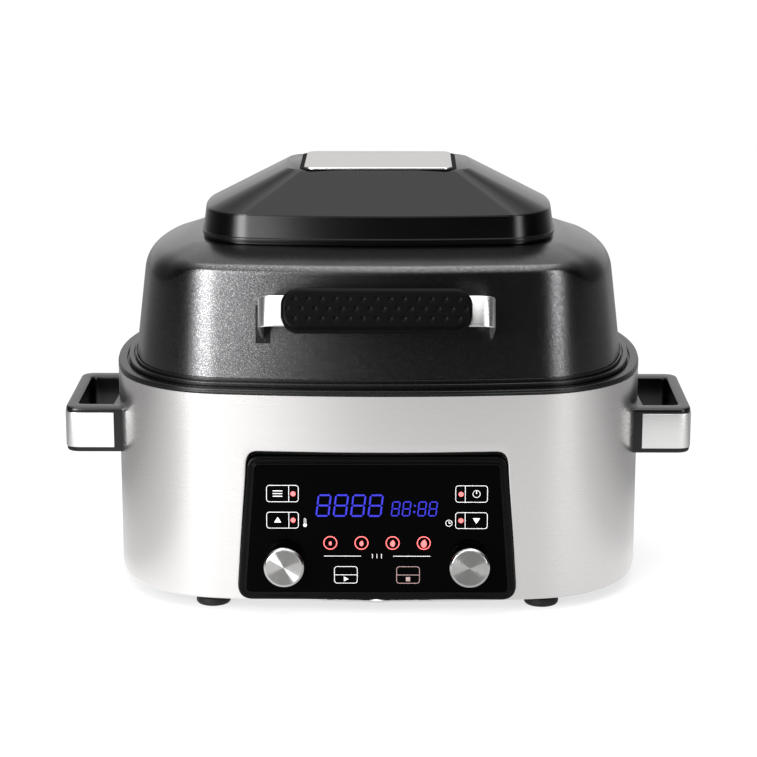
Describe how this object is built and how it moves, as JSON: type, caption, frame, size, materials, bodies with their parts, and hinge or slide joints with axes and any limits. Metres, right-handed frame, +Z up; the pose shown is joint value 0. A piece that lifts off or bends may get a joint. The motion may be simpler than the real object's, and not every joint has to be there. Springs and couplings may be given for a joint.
{
  "type": "air fryer grill",
  "caption": "Countertop air fryer grill: rounded steel body on rubber feet, front control panel with knobs, side handles, and a rear-hinged domed lid with fan and heater.",
  "frame": {"origin": "on the worktop, under the middle of the whole object", "axes": "+Z up, front and control panel towards -Y, +X to the right seen from the front"},
  "size_m": [0.43, 0.2868, 0.2882],
  "materials": {
    "brushed_steel": "fine upright brush",
    "bright_steel": "polished",
    "knob_steel": "spun face with a bright bevel",
    "rim_plastic": "satin",
    "lid_paint": "black paint with a fine speckle",
    "cap_plastic": "satin with a fine moulded grain",
    "handle_plastic": "satin",
    "grip_rubber": "matte with rows of small dimples",
    "panel_plastic": "gloss",
    "panel_glass": "black gloss with printed marks",
    "foot_rubber": "matte",
    "tray_plastic": "satin",
    "liner_steel": "aluminised sheet",
    "pot_coating": "non-stick coating",
    "seal_rubber": "matte silicone",
    "circuit_board": "solder resist",
    "display_plastic": "dark lens",
    "encoder_metal": "plain",
    "screw_steel": "zinc plated",
    "motor_paint": "grey lacquer",
    "element_steel": "heat-darkened tube",
    "fan_aluminium": "pressed sheet",
    "hub_plastic": "satin",
    "thermostat_body": "ceramic and metal"
  },
  "bodies": {
    "base": {"base_tray": "tray_plastic", "foot_front_left": "foot_rubber", "foot_front_right": "foot_rubber", "foot_rear_left": "foot_rubber", "foot_rear_right": "foot_rubber", "foot_screws": "screw_steel", "steel_wall": "brushed_steel", "top_rim": "rim_plastic", "hinge_pins": "screw_steel", "inner_liner": "liner_steel", "inner_pot": "pot_coating", "grill_plate": "pot_coating", "control_bezel": "panel_plastic", "control_glass": "panel_glass", "control_board": "circuit_board", "board_screws": "screw_steel", "display_module": "display_plastic", "left_encoder": "encoder_metal", "right_encoder": "encoder_metal", "left_handle": "handle_plastic", "left_handle_trim": "bright_steel", "right_handle": "handle_plastic", "right_handle_trim": "bright_steel", "side_handle_screws": "screw_steel", "power_board": "circuit_board", "cord_gland": "foot_rubber"},
    "lid": {"lid_flange": "rim_plastic", "lid_seal": "seal_rubber", "lid_liner": "liner_steel", "lid_shell": "lid_paint", "cap_neck": "cap_plastic", "top_cap": "cap_plastic", "top_plate": "bright_steel", "handle_strap": "bright_steel", "handle_grip": "grip_rubber", "left_strap_collar": "handle_plastic", "right_strap_collar": "handle_plastic", "left_strap_bracket": "liner_steel", "right_strap_bracket": "liner_steel", "strap_screws": "screw_steel", "motor_bracket": "liner_steel", "fan_motor": "motor_paint", "heating_element": "element_steel", "element_clips": "liner_steel", "fan_guard": "liner_steel", "thermostat": "thermostat_body"},
    "rotor": {"motor_shaft": "screw_steel", "circulation_fan": "fan_aluminium", "cooling_fan": "hub_plastic", "fan_nut": "screw_steel"},
    "left_knob_set": {"left_knob": "knob_steel", "left_knob_hub": "hub_plastic", "left_knob_shaft": "encoder_metal"},
    "right_knob_set": {"right_knob": "knob_steel", "right_knob_hub": "hub_plastic", "right_knob_shaft": "encoder_metal"}
  },
  "joints": [
    {"name": "lid_hinge", "type": "hinge", "parent": "base", "child": "lid", "pos_m": [0, 0.13589, 0.1622], "axis": [-1, 0, 0], "range_deg": [0, 80]},
    {"name": "fan_spin", "type": "hinge", "parent": "lid", "child": "rotor", "pos_m": [0, 0.00849, 0.2], "axis": [0, 0, 1], "continuous": true},
    {"name": "left_knob_turn", "type": "hinge", "parent": "base", "child": "left_knob_set", "pos_m": [-0.0613, -0.11015, 0.03614], "axis": [0, -0.9976, 0.0698], "continuous": true},
    {"name": "right_knob_turn", "type": "hinge", "parent": "base", "child": "right_knob_set", "pos_m": [0.0613, -0.11015, 0.03614], "axis": [0, -0.9976, 0.0698], "continuous": true}
  ]
}
